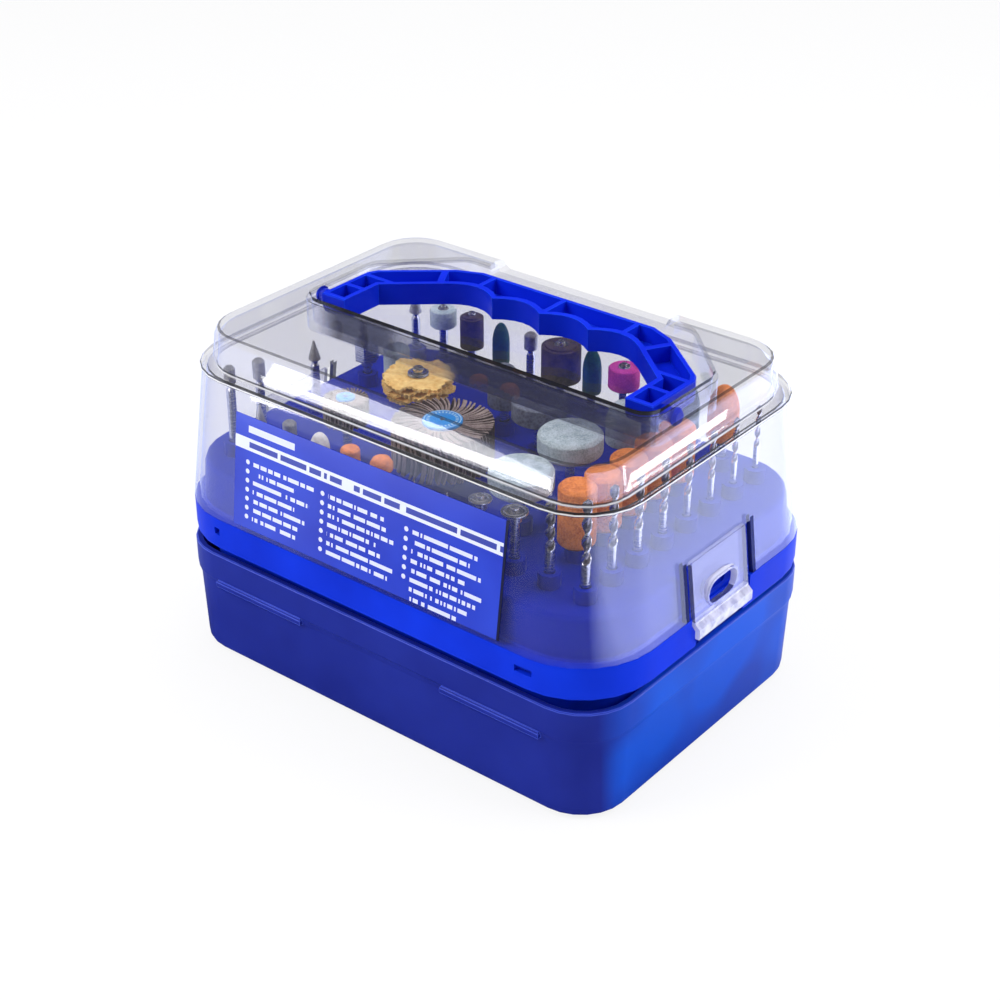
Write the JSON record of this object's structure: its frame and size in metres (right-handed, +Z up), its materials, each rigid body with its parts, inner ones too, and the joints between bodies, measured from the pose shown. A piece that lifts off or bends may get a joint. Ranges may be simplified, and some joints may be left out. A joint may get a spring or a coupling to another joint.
{
  "type": "accessory case",
  "caption": "Carrying case for rotary-tool bits: tub, lift-out tray of upright bits in sockets, clear lift-off lid with two spring latches, and a folding grip.",
  "frame": {"origin": "centre of the overall box, at the level of the feet", "axes": "+X along the case towards the right latch, -Y towards the labelled front, +Z up"},
  "size_m": [0.1944, 0.1334, 0.123],
  "materials": {
    "carbide": "green-grey silicon carbide abrasive",
    "clear": "clear polystyrene, glossy",
    "cotton": "stitched cotton",
    "diamond": "plated diamond grit on steel",
    "disc": "resin-bonded cut-off discs",
    "felt": "pressed felt",
    "flap": "coated abrasive flaps",
    "handle": "opaque blue moulding, semi-gloss",
    "label": "printed film, bare of words",
    "magenta": "abrasive-filled rubber, pink",
    "oxide": "brown aluminium oxide abrasive",
    "rubber": "abrasive-filled rubber, dark green",
    "sand": "coated abrasive",
    "steel": "ground steel",
    "tray": "opaque bright blue moulding, satin",
    "tub": "translucent dark indigo moulding, satin"
  },
  "bodies": {
    "base": {"base_box": "tub", "cut_off_discs_1": "disc", "cut_off_discs_2": "disc", "sanding_discs": "sand", "felt_discs": "felt", "sanding_bands": "sand"},
    "tray": {"tray": "tray", "twist_drill_1": "steel", "twist_drill_2": "steel", "twist_drill_3": "steel", "twist_drill_4": "steel", "twist_drill_5": "steel", "twist_drill_6": "steel", "twist_drill_7": "steel", "twist_drill_8": "steel", "twist_drill_9": "steel", "cutting_mandrel_1": "steel", "cutting_mandrel_2": "steel", "screw_mandrel_1": "steel", "screw_mandrel_2": "steel", "cap_stone": "oxide", "pencil_stone": "oxide", "felt_bob_1": "felt", "diamond_burr_1": "diamond", "diamond_burr_2": "diamond", "diamond_burr_3": "diamond", "oxide_stone_1": "oxide", "oxide_stone_2": "oxide", "oxide_stone_3": "oxide", "oxide_stone_4": "oxide", "oxide_stone_5": "oxide", "carbide_wheel_1": "carbide", "carbide_wheel_2": "carbide", "carbide_point": "carbide", "flap_wheel": "flap", "cotton_buff": "cotton", "felt_wheel": "felt", "brush_wheel": "flap", "felt_cone": "felt", "oxide_point": "oxide", "rubber_point_1": "rubber", "rubber_point_2": "rubber", "rubber_wheel_pink": "magenta", "rubber_point_3": "rubber", "sanding_drum_1": "sand", "diamond_burr_6": "diamond", "rubber_point_4": "rubber", "sanding_drum_2": "sand", "rubber_wheel_grey": "carbide", "diamond_burr_7": "diamond", "diamond_burr_4": "diamond", "diamond_burr_5": "diamond", "collet_nut": "steel", "carbide_pencil": "carbide"},
    "lid": {"lid": "clear", "label": "label"},
    "handle": {"handle": "handle"},
    "latch_left": {"latch_left": "clear"},
    "latch_right": {"latch_right": "clear"}
  },
  "joints": [
    {"name": "tray_lift", "type": "slide", "parent": "base", "child": "tray", "axis": [0, 0, 1], "range_m": [0, 0.06]},
    {"name": "lid_lift", "type": "slide", "parent": "tray", "child": "lid", "axis": [0, 0, 1], "range_m": [0, 0.07]},
    {"name": "handle_fold", "type": "hinge", "parent": "lid", "child": "handle", "pos_m": [0, -0.0015, 0.118], "axis": [1, 0, 0], "range_deg": [0, 92]},
    {"name": "latch_left_flex", "type": "hinge", "parent": "lid", "child": "latch_left", "pos_m": [-0.09264, 0, 0.07785], "axis": [0, 1, 0], "range_deg": [0, 18], "stiffness_Nm_per_rad": 0.6},
    {"name": "latch_right_flex", "type": "hinge", "parent": "lid", "child": "latch_right", "pos_m": [0.09264, 0, 0.07785], "axis": [0, -1, 0], "range_deg": [0, 18], "stiffness_Nm_per_rad": 0.6}
  ]
}
